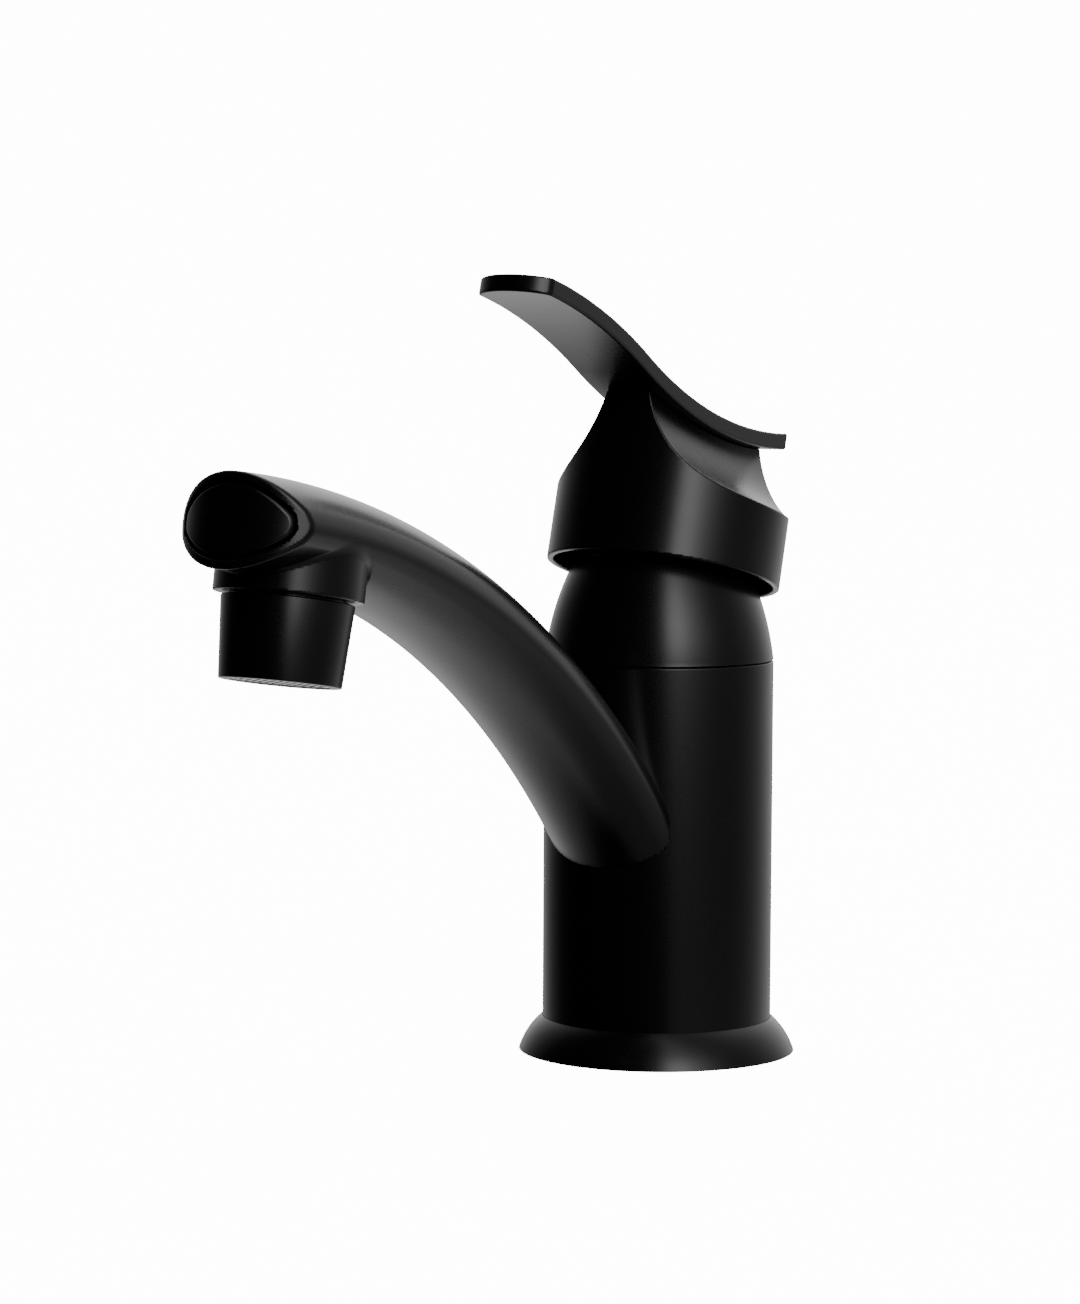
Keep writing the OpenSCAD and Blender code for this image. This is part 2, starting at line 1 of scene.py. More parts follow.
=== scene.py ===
"""Looks of the bathroom mixer faucet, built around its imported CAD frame.

Most visible pieces are implicit solids: each has a function that gives the signed distance from
a point to its skin, in millimetres, and skin() turns that into a mesh with exact normals. Round
pieces are turned on a lathe. Everything lies in the CAD frame: +Z up, the spout to -Y.
"""

import json
import math

import bmesh
import bpy
import numpy as np
from mathutils import Matrix, Vector


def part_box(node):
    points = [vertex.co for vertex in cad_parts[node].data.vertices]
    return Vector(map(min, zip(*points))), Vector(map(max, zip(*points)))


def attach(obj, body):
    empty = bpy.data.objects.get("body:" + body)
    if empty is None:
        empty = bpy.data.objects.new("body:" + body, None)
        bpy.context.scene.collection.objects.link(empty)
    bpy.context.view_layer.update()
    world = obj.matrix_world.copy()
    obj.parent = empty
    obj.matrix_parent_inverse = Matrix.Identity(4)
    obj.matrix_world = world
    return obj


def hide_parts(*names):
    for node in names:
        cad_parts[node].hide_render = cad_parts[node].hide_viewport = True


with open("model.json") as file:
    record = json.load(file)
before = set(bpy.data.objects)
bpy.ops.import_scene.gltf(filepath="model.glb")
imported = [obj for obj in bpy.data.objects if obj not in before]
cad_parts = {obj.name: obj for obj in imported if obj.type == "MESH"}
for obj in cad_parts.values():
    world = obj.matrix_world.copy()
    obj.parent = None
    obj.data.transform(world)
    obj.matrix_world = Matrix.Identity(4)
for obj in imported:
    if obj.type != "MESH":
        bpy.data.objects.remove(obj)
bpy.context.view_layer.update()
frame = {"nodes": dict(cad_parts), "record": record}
MM = 0.001


# ---------- sizes, in millimetres, read off the frame or repeated from the CAD ----------

def node_box(node):
    """A CAD node's lowest and highest corner in millimetres."""
    low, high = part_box(node)
    return np.array(low) / MM, np.array(high) / MM


BODY_R = node_box("body")[1][0]
SEAM_Z = node_box("body")[1][2]
FLANGE_R = node_box("base_flange")[1][0]
FLANGE_H = node_box("base_flange")[1][2]
SHROUD_TOP = node_box("cartridge_shroud")[1][2]

# outlet: a frame tilted forward, with its origin at the middle of the sleeve's rim
OUTLET = np.array([0.0, -145.2, 93.4])
OUTLET_TILT = math.radians(9.5)
SLEEVE_R = 12.2
SLEEVE_TOP_R = 13.3
SLEEVE_H = 16.5
NECK_H = 7.0
NECK_R = 11.45
NECK_BORE_R = 10.3
LIP_R = 9.9
LIP_T = 0.6
COLLAR_R = 15.0
COLLAR_H = 14.0
COLLAR_Z = SLEEVE_H + 0.5
THREAD_R = 11.5
THREAD_H = 8.0

# spout: a top surface and an underside, each a round section swept along its own arch
REACH = 162.9
SPOUT_W = 32.2
TOP_Z, TOP_R, TOP_SLOPE, TOP_ROUND = 135.7, 224.1, math.radians(4.66), 18.8
UNDER_Z, UNDER_R, UNDER_SLOPE, UNDER_ROUND = 116.4, 210.9, math.radians(6.37), 20.6


def arch_centre(z, r, slope):
    return -REACH - r * math.sin(slope), z - r * math.cos(slope)


def height_at_body(centre, r):
    return centre[1] + math.sqrt(r ** 2 - (BODY_R + centre[0]) ** 2)


TOP_CENTRE = arch_centre(TOP_Z, TOP_R, TOP_SLOPE)
UNDER_CENTRE = arch_centre(UNDER_Z, UNDER_R, UNDER_SLOPE)
ROOT_Z = (height_at_body(TOP_CENTRE, TOP_R) + height_at_body(UNDER_CENTRE, UNDER_R)) / 2
NOSE_AHEAD = 1.8
NOSE_R = (REACH + OUTLET[1]) * math.cos(OUTLET_TILT) - NOSE_AHEAD
NOSE_R += ((TOP_Z + UNDER_Z) / 2 - OUTLET[2]) * math.sin(OUTLET_TILT)
POCKET_DEPTH = 3.0
CAP_PLAY = 0.1
BODY_PLAY = 0.05

# spigot on the spout's root, which plugs into the body
SPIGOT_R = 7.0
SPIGOT_BORE_R = 3.5
SPIGOT_L = 9.0
SPIGOT_OVERLAP = 0.5
GROOVE_R = 6.0
GROOVE_FROM_END = 2.85
GROOVE_WIRE_R = 1.15

# handle: a frame tilted back about the lift pivot
PIVOT = np.array([0.0, 0.0, 103.0])
LIFT_REST = math.radians(15.1)
SKIRT_R = 26.6
SKIRT_WALL = 1.5
SKIRT_Z = 5.3
SCOOP = (31.9, 47.7, 26.96)
CREST = (-72.0, 140.0)
DIP = (1.0, 42.7, 127.0)
BLADE_W = 18.4
BLADE_T = 3.8
BLADE_FRONT = 81.0
BLADE_REAR = 32.0
BLADE_TIP_R = 12.0
BLADE_SCREWS = (-9.5, -19.0)
BLADE_SCREW_R = 2.05
BLADE_SCREW_TOP = 41.8
SCREW_HOLE_R = 2.1
SCREW_HEAD_R = 3.6
SCREW_HEAD_Z = 28.0
STEM_HALF = 4.05
STEM_TOP = 33.05
SKIRT_ROOF = 14.0
BALL_CAVITY_R = 22.3
GRUB_Z = 26.0
GRUB_R = 2.52
PLUG_R = 3.05
PLUG_DEPTH = 3.0


# ---------- signed distances ----------

def sharp_edge(*parts):
    """The solid inside every part."""
    return np.maximum.reduce(parts)


def round_edge(a, b, r):
    """The solid inside both a and b, with the edge between them rounded to radius r."""
    inside = np.minimum(np.maximum(a, b), -r)
    return inside + np.hypot(np.maximum(a + r, 0), np.maximum(b + r, 0))


def fillet(a, b, r):
    """The solid inside a or b, with a concave fillet of radius r where they meet."""
    outside = np.maximum(np.minimum(a, b), r)
    return outside - np.hypot(np.maximum(r - a, 0), np.maximum(r - b, 0))


def in_frame(p, origin, tilt):
    """Points in a frame at origin that is tilted by an angle about X, top towards +Y."""
    q = p - origin
    c, s = math.cos(tilt), math.sin(tilt)
    return np.stack([q[:, 0], q[:, 1] * c - q[:, 2] * s, q[:, 1] * s + q[:, 2] * c], 1)


def arch(p, inset, side_inset, soft):
    """The spout's section, or a smaller one inside it: two round surfaces between flat sides."""
    top = np.hypot(p[:, 1] - TOP_CENTRE[0], p[:, 2] - TOP_CENTRE[1]) - TOP_R + TOP_ROUND
    under = np.hypot(p[:, 1] - UNDER_CENTRE[0], p[:, 2] - UNDER_CENTRE[1]) - UNDER_R - UNDER_ROUND
    upper = np.hypot(p[:, 0], top) - TOP_ROUND + inset
    lower = np.hypot(p[:, 0], under) - UNDER_ROUND + inset
    sides = np.abs(p[:, 0]) - SPOUT_W / 2 + side_inset
    return round_edge(round_edge(upper, sides, soft), lower, soft)


def nose(q):
    """Distance from an upright drum behind the nose's rounded front, in the outlet's frame."""
    y = q[:, 1] + NOSE_AHEAD
    return np.where(y < 0, np.hypot(q[:, 0], y), np.abs(q[:, 0])) - NOSE_R


def spout_solid(p):
    q = in_frame(p, OUTLET, OUTLET_TILT)
    radius = np.hypot(q[:, 0], q[:, 1])
    collar = round_edge(radius - COLLAR_R, q[:, 2] - COLLAR_Z - COLLAR_H, 3.6)
    collar = round_edge(collar, COLLAR_Z - q[:, 2], 0.35)
    tip = round_edge(fillet(arch(p, 0, 0, 2.0), collar, 0.8), nose(q), 0.7)
    pocket = sharp_edge(arch(p, 1.85, 0.75, 3.2), -POCKET_DEPTH - nose(q), q[:, 1])
    tip = round_edge(tip, -pocket, 0.3)
    bore = sharp_edge(radius - THREAD_R, q[:, 2] - COLLAR_Z - THREAD_H)
    tip = round_edge(tip, -bore, 0.3)
    shell = round_edge(tip, BODY_R + BODY_PLAY - np.hypot(p[:, 0], p[:, 1]), 0.3)
    return np.minimum(shell, spigot(p))


def spigot(p):
    """The tail that plugs into the body, with its bore and its seal's groove."""
    radius = np.hypot(p[:, 0], p[:, 2] - ROOT_Z)
    inwards = p[:, 1] + BODY_R
    tail = sharp_edge(radius - SPIGOT_R, SPIGOT_BORE_R - radius,
                      inwards - SPIGOT_L, -inwards - SPIGOT_OVERLAP)
    groove = np.hypot(radius - GROOVE_R, inwards - SPIGOT_L + GROOVE_FROM_END) - GROOVE_WIRE_R
    return np.maximum(tail, -groove)


def end_cap_solid(p):
    q = in_frame(p, OUTLET, OUTLET_TILT)
    cap = round_edge(arch(p, 2.4, 1.3, 3.0), nose(q) + CAP_PLAY, 0.7)
    return sharp_edge(cap, -POCKET_DEPTH - nose(q), q[:, 1])


def blade_band(h):
    """Distances from the blade's side view, a band along two arcs, and from its rear underside."""
    crest_y, crest_r = CREST
    dip_y, dip_z, dip_r = DIP
    both = crest_r + dip_r
    dip_cz = dip_z + dip_r
    crest_cz = dip_cz - math.sqrt(both ** 2 - (dip_y - crest_y) ** 2)
    front = np.hypot(h[:, 1] - crest_y, h[:, 2] - crest_cz)
    rear = np.hypot(h[:, 1] - dip_y, h[:, 2] - dip_cz)
    front_mid = np.abs(front - crest_r + BLADE_T / 2) - BLADE_T / 2
    rear_mid = np.abs(rear - dip_r - BLADE_T / 2) - BLADE_T / 2
    sway_y = crest_y + crest_r * (dip_y - crest_y) / both
    return np.where(h[:, 1] < sway_y, front_mid, rear_mid), rear - dip_r - BLADE_T


def blade_solid(p):
    h = in_frame(p, PIVOT, LIFT_REST)
    band, _ = blade_band(h)
    tip_y = BLADE_TIP_R - BLADE_FRONT
    tip = np.where(h[:, 1] < tip_y, np.hypot(h[:, 0], h[:, 1] - tip_y), np.abs(h[:, 0])) - BLADE_TIP_R
    outline = round_edge(np.abs(h[:, 0]) - BLADE_W / 2, tip, 0.6)
    outline = round_edge(outline, h[:, 1] - BLADE_REAR, 0.6)
    holes = [sharp_edge(np.hypot(h[:, 0], h[:, 1] - y) - BLADE_SCREW_R, h[:, 2] - BLADE_SCREW_TOP)
             for y in BLADE_SCREWS]
    return round_edge(round_edge(outline, band, 0.45), -np.minimum(*holes), 0.1)


def hub_solid(p):
    h = in_frame(p, PIVOT, LIFT_REST)
    _, under_blade = blade_band(h)
    radius = np.hypot(h[:, 0], h[:, 1])
    scoop_x, scoop_z, scoop_r = SCOOP
    scoop = scoop_r - np.hypot(np.abs(h[:, 0]) - scoop_x, h[:, 2] - scoop_z)
    hub = round_edge(radius - SKIRT_R, scoop, 0.35)
    hub = round_edge(hub, -under_blade, 0.5)
    hub = round_edge(hub, SKIRT_Z - h[:, 2], 0.4)
    across = np.hypot(h[:, 0], h[:, 2] - GRUB_Z)
    cavities = [
        sharp_edge(radius - SKIRT_R + SKIRT_WALL, h[:, 2] - SKIRT_ROOF),
        np.linalg.norm(h, axis=1) - BALL_CAVITY_R,
        sharp_edge(np.abs(h[:, 0]) - STEM_HALF, np.abs(h[:, 1]) - STEM_HALF, h[:, 2] - STEM_TOP),
        sharp_edge(across - GRUB_R, -h[:, 1]),
    ]
    for y in BLADE_SCREWS:
        hole = np.hypot(h[:, 0], h[:, 1] - y)
        cavities += [sharp_edge(hole - SCREW_HEAD_R, h[:, 2] - SCREW_HEAD_Z), hole - SCREW_HOLE_R]
    plug_hole = sharp_edge(across - PLUG_R, SKIRT_R - PLUG_DEPTH - h[:, 1])
    hub = round_edge(hub, -plug_hole, 0.25)
    return round_edge(hub, -np.minimum.reduce(cavities), 0.25)


# ---------- meshing ----------

CORNERS = [(i, j, k) for i in (0, 1) for j in (0, 1) for k in (0, 1)]
EDGES = [(a, b) for a in CORNERS for b in CORNERS if a < b and sum(map(abs, np.subtract(a, b))) == 1]
BLOCK = 8


def sample(solid, low, high, cell):
    """The solid's distances on a grid. Only blocks near the skin are sampled finely."""
    blocks = np.ceil((high - low) / (cell * BLOCK)).astype(int)
    centres = np.stack(np.meshgrid(*[np.arange(n) for n in blocks], indexing="ij"), -1).reshape(-1, 3)
    coarse = solid(low + (centres + 0.5) * BLOCK * cell)
    field = coarse.reshape(blocks)
    for axis in range(3):
        field = np.repeat(field, BLOCK, axis)
    near = centres[np.abs(coarse) < cell * (BLOCK * math.sqrt(3) / 2 + 2)]
    inner = np.stack(np.meshgrid(*[np.arange(BLOCK)] * 3, indexing="ij"), -1).reshape(-1, 3)
    nodes = (near[:, None] * BLOCK + inner).reshape(-1, 3)
    field[tuple(nodes.T)] = solid(low + nodes * cell)
    return field


def normals_of(solid, p, step=0.02):
    """The skin's outward direction, by central differences."""
    shifts = np.eye(3) * step
    g = np.stack([solid(p + s) - solid(p - s) for s in shifts], 1)
    return g / np.maximum(np.linalg.norm(g, axis=1, keepdims=True), 1e-9)


def nets(field):
    """Surface nets: one vertex in each cell that the skin crosses, one quad across each such edge."""
    inside = field < 0
    count = sum(inside[i:inside.shape[0] - 1 + i, j:inside.shape[1] - 1 + j, k:inside.shape[2] - 1 + k]
                .astype(np.int8) for i, j, k in CORNERS)
    cells = np.argwhere((count > 0) & (count < 8))
    index = np.full(count.shape, -1)
    index[tuple(cells.T)] = np.arange(len(cells))
    total, hits = np.zeros((len(cells), 3)), np.zeros((len(cells), 1))
    for a, b in EDGES:
        fa, fb = field[tuple((cells + a).T)], field[tuple((cells + b).T)]
        crossed = (fa < 0) != (fb < 0)
        share = np.where(crossed, fa / np.where(crossed, fa - fb, 1), 0)
        total += crossed[:, None] * (np.array(a) + share[:, None] * np.subtract(b, a))
        hits += crossed[:, None]
    faces = []
    for axis in range(3):
        one, two = np.eye(3, dtype=int)[(axis + 1) % 3], np.eye(3, dtype=int)[(axis + 2) % 3]
        ahead = [slice(None)] * 3
        ahead[axis] = slice(1, None)
        behind = [slice(None)] * 3
        behind[axis] = slice(None, -1)
        for start, stop, order in ((behind, ahead, 1), (ahead, behind, -1)):
            at = np.argwhere(inside[tuple(start)] & ~inside[tuple(stop)])
            at = at[(at[:, (axis + 1) % 3] > 0) & (at[:, (axis + 2) % 3] > 0)]
            quad = [at - one - two, at - two, at, at - one][::order]
            faces.append(np.stack([index[tuple(c.T)] for c in quad], 1))
    return cells + total / hits, np.concatenate(faces)


def skin(name, solid, low, high, cell):
    """A mesh of the solid's skin, pulled onto it and given its exact normals."""
    low, high = np.array(low, float) - 2 * cell, np.array(high, float) + 2 * cell
    grid, faces = nets(sample(solid, low, high, cell))
    p = low + grid * cell
    for _ in range(3):
        p -= np.clip(solid(p), -cell / 2, cell / 2)[:, None] * normals_of(solid, p)
    mesh = bpy.data.meshes.new(name)
    mesh.from_pydata((p * MM).tolist(), [], faces.tolist())
    mesh.shade_smooth()
    mesh.normals_split_custom_set_from_vertices(normals_of(solid, p).tolist())
    return add(name, mesh)


def add(name, mesh):
    piece = bpy.data.objects.new(name, mesh)
    bpy.context.scene.collection.objects.link(piece)
    return piece


def rounded(corners, steps=6):
    """An outline of (radius, height, rounding) corners, each rounded by an arc."""
    pts = []
    for i, (r, z, rho) in enumerate(corners):
        here = Vector((r, z))
        before, after = Vector(corners[i - 1][:2]), Vector(corners[(i + 1) % len(corners)][:2])
        if rho == 0:
            pts.append(tuple(here))
            continue
        a, b = (before - here).normalized(), (after - here).normalized()
        half = a.angle(b) / 2
        run = rho / math.tan(half)
        centre = here + (a + b).normalized() * rho / math.sin(half)
        start, end = here + a * run - centre, here + b * run - centre
        turn = start.angle_signed(end)
        for k in range(steps + 1):
            spin = Matrix.Rotation(-turn * k / steps, 2)
            pts.append(tuple(centre + spin @ start))
    return pts


def turned(outline, turns=256):
    """A closed outline of (radius, height) points turned about Z: its vertices and faces."""
    n = len(outline)
    around = np.linspace(0, 2 * math.pi, turns, endpoint=False)
    verts = [(r * math.sin(a), -r * math.cos(a), z) for a in around for r, z in outline]
    faces = []
    for i in range(turns):
        for k in range(n):
            j = (i + 1) % turns * n
            faces.append((i * n + k, j + k, j + (k + 1) % n, i * n + (k + 1) % n))
    return verts, faces


def to_piece(name, verts, faces, origin=(0, 0, 0), tilt=0.0):
    """A smooth piece of vertices given in millimetres in a tilted frame."""
    c, s = math.cos(tilt), math.sin(tilt)
    x, y, z = np.array(verts).T
    points = np.stack([x, y * c + z * s, -y * s + z * c], 1) + origin
    mesh = bpy.data.meshes.new(name)
    mesh.from_pydata((points * MM).tolist(), [], faces)
    outwards(mesh)
    mesh.shade_smooth()
    mesh.set_sharp_from_angle(angle=math.radians(35))
    return add(name, mesh)


def lathe(name, outline):
    return to_piece(name, *turned(outline))


def outwards(mesh):
    """Turns every face of a closed mesh outwards."""
    work = bmesh.new()
    work.from_mesh(mesh)
    bmesh.ops.recalc_face_normals(work, faces=work.faces)
    work.to_mesh(mesh)
    work.free()


# ---------- materials ----------

def new_material(name, colour, roughness, metallic=0.0, **shader):
    mat = bpy.data.materials.new(name)
    mat.use_nodes = True
    bsdf = mat.node_tree.nodes["Principled BSDF"]
    bsdf.inputs["Base Color"].default_value = (*colour, 1)
    bsdf.inputs["Roughness"].default_value = roughness
    bsdf.inputs["Metallic"].default_value = metallic
    for key, value in shader.items():
        bsdf.inputs[key.replace("_", " ")].default_value = value
    return mat, mat.node_tree, bsdf


def noise(tree, scale, detail=3.0, stretch=(1, 1, 1)):
    """Object-space noise; scale is in features per metre."""
    where = tree.nodes.new("ShaderNodeTexCoord")
    mapping = tree.nodes.new("ShaderNodeMapping")
    mapping.inputs["Scale"].default_value = stretch
    texture = tree.nodes.new("ShaderNodeTexNoise")
    texture.inputs["Scale"].default_value = scale
    texture.inputs["Detail"].default_value = detail
    tree.links.new(where.outputs["Object"], mapping.inputs["Vector"])
    tree.links.new(mapping.outputs["Vector"], texture.inputs["Vector"])
    return texture.outputs["Fac"]


def spread(tree, value, low, high):
    """A noise value stretched to run from low to high."""
    ramp = tree.nodes.new("ShaderNodeMapRange")
    ramp.inputs["From Min"].default_value = 0.3
    ramp.inputs["From Max"].default_value = 0.7
    ramp.inputs["To Min"].default_value = low
    ramp.inputs["To Max"].default_value = high
    tree.links.new(value, ramp.inputs["Value"])
    return ramp.outputs["Result"]


def tint(tree, value, dark, light):
    ramp = tree.nodes.new("ShaderNodeValToRGB")
    ramp.color_ramp.elements[0].color = (*dark, 1)
    ramp.color_ramp.elements[1].color = (*light, 1)
    tree.links.new(value, ramp.inputs["Fac"])
    return ramp.outputs["Color"]


def bump(tree, bsdf, value, depth, strength=1.0):
    node = tree.nodes.new("ShaderNodeBump")
    node.inputs["Distance"].default_value = depth
    node.inputs["Strength"].default_value = strength
    tree.links.new(value, node.inputs["Height"])
    tree.links.new(node.outputs["Normal"], bsdf.inputs["Normal"])


def black_coating():
    """Satin black coating: near black, a fine grain, and a soft sheen that varies a little."""
    mat, tree, bsdf = new_material("black_coating", (0.0035, 0.0035, 0.0037), 0.28, IOR=1.5)
    cloud = noise(tree, 60)
    shade = tint(tree, cloud, (0.0028, 0.0028, 0.003), (0.0042, 0.0042, 0.0044))
    tree.links.new(shade, bsdf.inputs["Base Color"])
    tree.links.new(spread(tree, noise(tree, 140, 2), 0.266, 0.278), bsdf.inputs["Roughness"])
    bump(tree, bsdf, noise(tree, 5200, 2), 0.000005, 0.15)
    return mat


def rubber():
    mat, tree, bsdf = new_material("rubber", (0.02, 0.02, 0.02), 0.75)
    shade = tint(tree, noise(tree, 300), (0.014, 0.014, 0.014), (0.028, 0.027, 0.026))
    tree.links.new(shade, bsdf.inputs["Base Color"])
    bump(tree, bsdf, noise(tree, 3000), 0.00003)
    return mat


def turned_metal(name, dark, light, roughness):
    """Bare metal with fine turning marks that run round the axis."""
    mat, tree, bsdf = new_material(name, light, roughness, 1.0)
    marks = noise(tree, 40, 4, (0.5, 0.5, 60))
    tree.links.new(tint(tree, marks, dark, light), bsdf.inputs["Base Color"])
    tree.links.new(spread(tree, marks, roughness - 0.07, roughness + 0.1), bsdf.inputs["Roughness"])
    bump(tree, bsdf, marks, 0.00002)
    return mat


def moulded_plastic(name, dark, light):
    mat, tree, bsdf = new_material(name, light, 0.45)
    tree.links.new(tint(tree, noise(tree, 90), dark, light), bsdf.inputs["Base Color"])
    tree.links.new(spread(tree, noise(tree, 500), 0.4, 0.52), bsdf.inputs["Roughness"])
    bump(tree, bsdf, noise(tree, 2500), 0.000015)
    return mat


MATERIALS = {
    "black_coating": black_coating(),
    "rubber_seal": rubber(),
    "brass_cast": turned_metal("brass_cast", (0.55, 0.36, 0.14), (0.78, 0.56, 0.26), 0.3),
    "steel": turned_metal("steel", (0.42, 0.42, 0.43), (0.62, 0.62, 0.63), 0.28),
    "mesh_steel": turned_metal("mesh_steel", (0.9, 0.9, 0.9), (0.98, 0.98, 0.97), 0.42),
    "white_plastic": moulded_plastic("white_plastic", (0.68, 0.68, 0.66), (0.82, 0.82, 0.8)),
    "orange_plastic": moulded_plastic("orange_plastic", (0.62, 0.22, 0.04), (0.78, 0.3, 0.06)),
    "green_plastic": moulded_plastic("green_plastic", (0.05, 0.26, 0.15), (0.08, 0.36, 0.22)),
    "disc_ceramic": moulded_plastic("disc_ceramic", (0.74, 0.72, 0.68), (0.86, 0.85, 0.82)),
    "cover_plastic": moulded_plastic("cover_plastic", (0.012, 0.012, 0.012), (0.02, 0.02, 0.02)),
}


def finish_as(piece, slot):
    """Gives a piece one of the record's finishes."""
    piece.data.materials.clear()
    piece.data.materials.append(MATERIALS[slot])


def place(piece, body, slot, *nodes):
    finish_as(piece, slot)
    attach(piece, body)
    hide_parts(*nodes)


def paint_cad_nodes():
    """Every CAD node gets its slot's material."""
    for part in frame["record"]["subparts"]:
        node = frame["nodes"][part["node"]]
        node.data.materials.clear()
        node.data.materials.append(MATERIALS[part["material_slot"]])


# ---------- the pieces ----------

def make_flange():
    flare_r, flare_z, steps = 16.4, -5.04, 24
    flare_x = FLANGE_R - math.sqrt(flare_r ** 2 - flare_z ** 2)
    groove_out, groove_in, groove_h = 28.5, 25.0, 1.2
    hole_r, seat_r, seat_z = 22.6, BODY_R + BODY_PLAY, 2.0
    outline = [(groove_out, 0.0), (groove_out, groove_h), (groove_in, groove_h), (groove_in, 0.0)]
    outline += [(hole_r, 0.0), (hole_r, seat_z), (seat_r, seat_z), (seat_r, FLANGE_H - 0.05)]
    for k in range(steps + 1):
        z = FLANGE_H * (1 - k / steps)
        outline.append((flare_x + math.sqrt(flare_r ** 2 - (z - flare_z) ** 2), z))
    place(lathe("base_flange_turned", outline), "mixer_body", "black_coating", "base_flange")


def make_body():
    bore_r, foot_z = 22.5, 2.0
    corners = [(bore_r, foot_z, 0), (BODY_R, foot_z, 0.3), (BODY_R, SEAM_Z, 0.45), (bore_r, SEAM_Z, 0)]
    place(lathe("body_shell_turned", rounded(corners)), "mixer_body", "black_coating", "body")


def make_shroud():
    arc_r, lean = 64.0, math.radians(6)
    arc_x = BODY_R - arc_r * math.cos(lean)
    arc_z = SEAM_Z - arc_r * math.sin(lean)
    low, steps = SEAM_Z + 0.08, 40
    mouth_r, bore_r, throat_r, ledge = 13.2, 21.6, 16.6, 1.8
    outer = []
    for k in range(steps + 1):
        z = low + (SHROUD_TOP - low) * k / steps
        outer.append((arc_x + math.sqrt(arc_r ** 2 - (z - arc_z) ** 2), z))
    outline = [(bore_r, low), (outer[0][0] - 0.3, low), (outer[0][0], low + 0.25), *outer[1:-1]]
    outline += [(outer[-1][0] - 0.1, SHROUD_TOP - 0.2), (outer[-1][0] - 0.4, SHROUD_TOP)]
    outline += [(mouth_r, SHROUD_TOP), (mouth_r, SHROUD_TOP - ledge), (throat_r, SHROUD_TOP - ledge)]
    outline += [(bore_r, low + 6)]
    place(lathe("shroud_turned", outline), "mixer_body", "black_coating", "cartridge_shroud")


def make_sleeve():
    neck_z = SLEEVE_H + NECK_H
    corners = [
        (LIP_R, 0.0, 0.15), (SLEEVE_R, 0.0, 0.3), (SLEEVE_TOP_R, SLEEVE_H, 0.35), (NECK_R, SLEEVE_H, 0),
        (NECK_R, neck_z, 0), (NECK_BORE_R, neck_z, 0), (NECK_BORE_R, LIP_T, 0), (LIP_R, LIP_T, 0),
    ]
    piece = to_piece("aerator_sleeve_turned", *turned(rounded(corners)), OUTLET, OUTLET_TILT)
    place(piece, "mixer_body", "black_coating", "aerator_sleeve")


def wire(centres, side, r=0.13, sides=6):
    """A closed tube along some centres; side is the level direction across it."""
    n = len(centres)
    up = np.array([0, 0, 1.0])
    verts = []
    for centre in centres:
        for k in range(sides):
            a = 2 * math.pi * k / sides
            verts.append(np.array(centre) + r * (math.cos(a) * side + math.sin(a) * up))
    faces = [tuple(range(sides)), tuple(range((n - 1) * sides, n * sides))]
    for i in range(n - 1):
        for k in range(sides):
            a, b = i * sides + k, i * sides + (k + 1) % sides
            faces.append((a, b, b + sides, a + sides))
    return verts, faces


def make_screen():
    """The aerator's woven screen: wires that pass over and under each other, in a thin rim."""
    pitch, wave, middle, reach = 1.0, 0.12, 0.48, LIP_R - 0.5
    rim_in, rim_out, flange_out = reach - 0.3, LIP_R - 0.1, NECK_BORE_R - 0.15
    face_z, flange_z, top_z = 0.2, 0.7, 0.9
    rim = [(rim_in, face_z), (rim_out, face_z), (rim_out, flange_z), (flange_out, flange_z),
           (flange_out, top_z), (rim_in, top_z)]
    verts, faces = turned(rim, 96)
    count = int(reach / pitch)
    for heading, side in (((1, 0, 0), (0, 1, 0)), ((0, 1, 0), (1, 0, 0))):
        heading, side = np.array(heading, float), np.array(side, float)
        phase = heading[0]
        for i in range(-count, count + 1):
            half = math.sqrt(reach ** 2 - (i * pitch) ** 2)
            steps = max(6, int(6 * half / pitch))
            centres = []
            for t in np.linspace(-half, half, steps):
                height = middle + wave * math.cos(math.pi * (t / pitch + i + phase))
                centres.append(heading * t + side * i * pitch + np.array([0, 0, height]))
            more, quads = wire(centres, side)
            start = len(verts)
            verts += [tuple(v) for v in more]
            faces += [tuple(start + k for k in quad) for quad in quads]
    piece = to_piece("aerator_screen_woven", verts, faces, OUTLET, OUTLET_TILT)
    place(piece, "mixer_body", "mesh_steel", "aerator_mesh")


def make_spout():
    spout = skin("spout_cast", spout_solid, *node_box("spout"), cell=0.45)
    place(spout, "mixer_body", "black_coating", "spout")
    cap = skin("end_cap_moulded", end_cap_solid, *node_box("spout_end_cap"), cell=0.3)
    place(cap, "mixer_body", "black_coating", "spout_end_cap")


def make_handle():
    hub = skin("handle_hub_cast", hub_solid, *node_box("handle_hub"), cell=0.4)
    place(hub, "lever", "black_coating", "handle_hub")
    blade = skin("lever_blade_formed", blade_solid, *node_box("lever_blade"), cell=0.35)
    place(blade, "lever", "black_coating", "lever_blade")


# ---------- stage ----------

CAMERA_AT = Vector((453.7, -764.7, 158.7)) * MM
CAMERA_DOWN = 4.39
CAMERA_ROLL = 0.3
LENS = 108.5
SENSOR_W = 36
HEADING = math.radians(32.42)
TOWARDS_CAMERA = Vector((math.sin(HEADING), -math.cos(HEADING), 0))
TO_THE_RIGHT = Vector((math.cos(HEADING), math.sin(HEADING), 0))

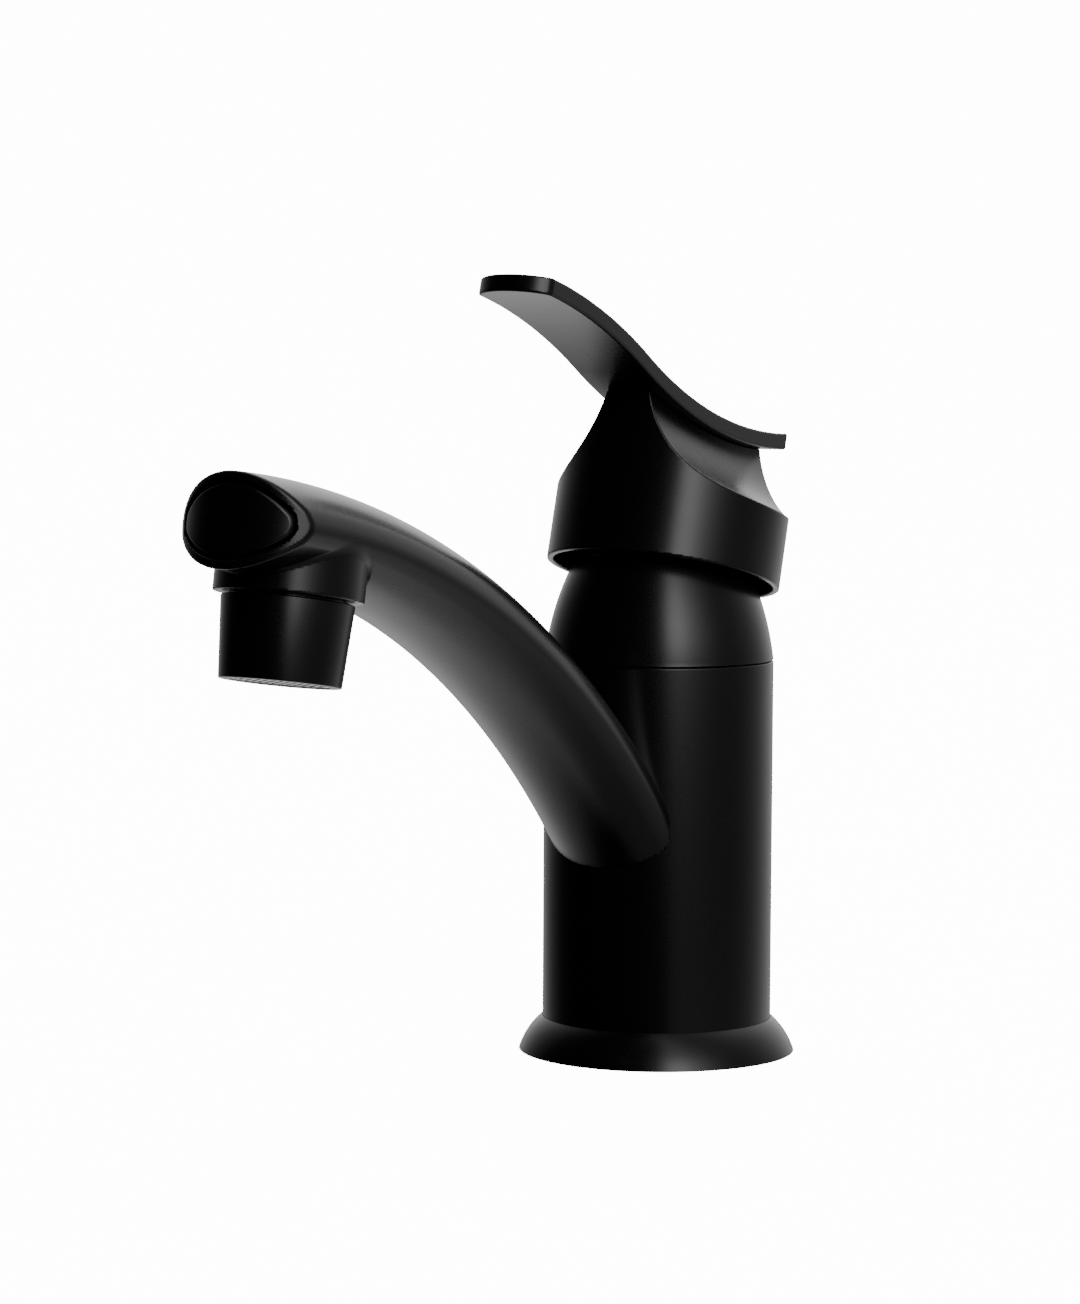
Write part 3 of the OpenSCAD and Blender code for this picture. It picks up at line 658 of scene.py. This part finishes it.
# what lights the object: brightness by the angle to the right of the camera, in degrees, times
# a factor by height, the sine of the elevation; the three are added up
ROOM = (
    [(-180, 0.8), (-165, 0.7), (-150, 0.5), (-135, 0.22), (-120, 0.07), (-105, 0.01), (-90, 0.0),
     (6, 0.0), (12, 0.13), (20, 0.18), (40, 0.18), (60, 0.15), (82, 0.15), (94, 0.2), (108, 0.3),
     (124, 0.5), (148, 0.78), (180, 0.85)],
    [(-1, 0.9), (-0.5, 1.4), (-0.28, 1.05), (-0.14, 0.8), (-0.05, 1.0), (0.1, 1.15), (0.3, 1.3),
     (0.6, 1.4), (0.85, 1.8), (1, 1.8)],
)
SOFTBOX = (
    [(-180, 0.0), (1, 0.0), (5, 0.3), (10, 0.9), (18, 1.0), (26, 0.7), (35, 0.38), (45, 0.18),
     (57, 0.05), (72, 0.0), (180, 0.0)],
    [(-1, 0.0), (-0.01, 0.0), (0.06, 0.3), (0.14, 1.6), (0.25, 3.4), (0.38, 4.4), (0.6, 3.4),
     (0.8, 1.2), (1, 0.8)],
)
WALL = (
    [(-180, 0.8), (-165, 0.4), (-150, 0.0), (140, 0.0), (165, 0.6), (180, 0.8)],
    [(-1, 0.0), (-0.05, 0.0), (0.1, 1.0), (0.35, 1.0), (0.6, 0.4), (1, 0.0)],
)
BACKDROP = 14.0


def make_camera():
    """The view: from the spout's right and a little above."""
    data = bpy.data.cameras.new("camera")
    data.lens = LENS
    data.sensor_width = SENSOR_W
    camera = add("camera", data)
    heading = Matrix.Rotation(HEADING, 4, "Z")
    pitch = Matrix.Rotation(math.radians(90 - CAMERA_DOWN), 4, "X")
    roll = Matrix.Rotation(math.radians(CAMERA_ROLL), 4, "Z")
    camera.matrix_world = Matrix.Translation(CAMERA_AT) @ heading @ pitch @ roll
    bpy.context.scene.camera = camera


def make_backdrop():
    """A white sweep: a floor that curves up into a wall and a ceiling. Only the camera sees it.

    The outline is in metres, as (radius, height).
    """
    outline = [(0.0, 0.0), (0.5, 0.0), (1.0, 0.0), (1.6, 0.0)]
    outline += [(1.6 + math.sin(a), 1 - math.cos(a)) for a in np.linspace(0.1, math.pi / 2, 14)]
    outline += [(2.6, 2.0), (2.2, 2.9), (1.2, 3.4), (0.0, 3.5)]
    turns = 64
    verts = [(r * math.sin(a), r * math.cos(a), z)
             for a in np.linspace(0, 2 * math.pi, turns, endpoint=False) for r, z in outline]
    n = len(outline)
    faces = [(i * n + k, i * n + k + 1, (i + 1) % turns * n + k + 1, (i + 1) % turns * n + k)
             for i in range(turns) for k in range(n - 1)]
    mesh = bpy.data.meshes.new("backdrop")
    mesh.from_pydata(verts, [], faces)
    mesh.shade_smooth()
    backdrop = add("backdrop", mesh)
    backdrop.visible_diffuse = False
    backdrop.visible_glossy = False
    backdrop.visible_shadow = False
    mat, _, _ = new_material("backdrop", (0.9, 0.9, 0.9), 0.9, Emission_Strength=BACKDROP,
                             Emission_Color=(1, 1, 1, 1), Specular_IOR_Level=0)
    mesh.materials.append(mat)


def curve_of(tree, value, low, high, stops):
    """A smooth curve through the stops, as a value that follows another."""
    curve = tree.nodes.new("ShaderNodeFloatCurve")
    points = curve.mapping.curves[0].points
    curve.mapping.use_clip = False
    top = max(v for _, v in stops)
    placed = [((at - low) / (high - low), v / top) for at, v in stops]
    points[0].location, points[-1].location = placed[0], placed[-1]
    for where in placed[1:-1]:
        points.new(*where)
    for point in points:
        point.handle_type = "AUTO_CLAMPED"
    curve.mapping.update()
    place_in = tree.nodes.new("ShaderNodeMapRange")
    place_in.inputs["From Min"].default_value = low
    place_in.inputs["From Max"].default_value = high
    tree.links.new(value, place_in.inputs["Value"])
    tree.links.new(place_in.outputs["Result"], curve.inputs["Value"])
    return math_node(tree, "MULTIPLY", curve.outputs["Value"], top)


def math_node(tree, operation, a, b):
    node = tree.nodes.new("ShaderNodeMath")
    node.operation = operation
    for socket, value in zip(node.inputs, (a, b)):
        if isinstance(value, (int, float)):
            socket.default_value = value
        else:
            tree.links.new(value, socket)
    return node.outputs["Value"]


def along(tree, where, direction):
    node = tree.nodes.new("ShaderNodeVectorMath")
    node.operation = "DOT_PRODUCT"
    node.inputs[1].default_value = direction
    tree.links.new(where, node.inputs[0])
    return node.outputs["Value"]


def make_room():
    """The soft light: a white wall behind the object, a softbox to the right, dark in front."""
    world = bpy.data.worlds.new("studio")
    world.use_nodes = True
    tree = world.node_tree
    where = tree.nodes.new("ShaderNodeTexCoord").outputs["Generated"]
    ahead = along(tree, where, TOWARDS_CAMERA)
    right = along(tree, where, TO_THE_RIGHT)
    height = along(tree, where, (0, 0, 1))
    angle = math_node(tree, "ARCTAN2", right, ahead)
    light = 0.0
    for around, up in (ROOM, SOFTBOX, WALL):
        across = curve_of(tree, angle, -math.pi, math.pi, [(math.radians(a), v) for a, v in around])
        glow = math_node(tree, "MULTIPLY", across, curve_of(tree, height, -1, 1, up))
        light = math_node(tree, "ADD", glow, light)
    tree.links.new(light, tree.nodes["Background"].inputs["Strength"])
    tree.nodes["Background"].inputs["Color"].default_value = (1, 1, 1, 1)
    bpy.context.scene.world = world


paint_cad_nodes()
make_flange()
make_body()
make_shroud()
make_sleeve()
make_screen()
make_spout()
make_handle()
make_camera()
make_backdrop()
make_room()
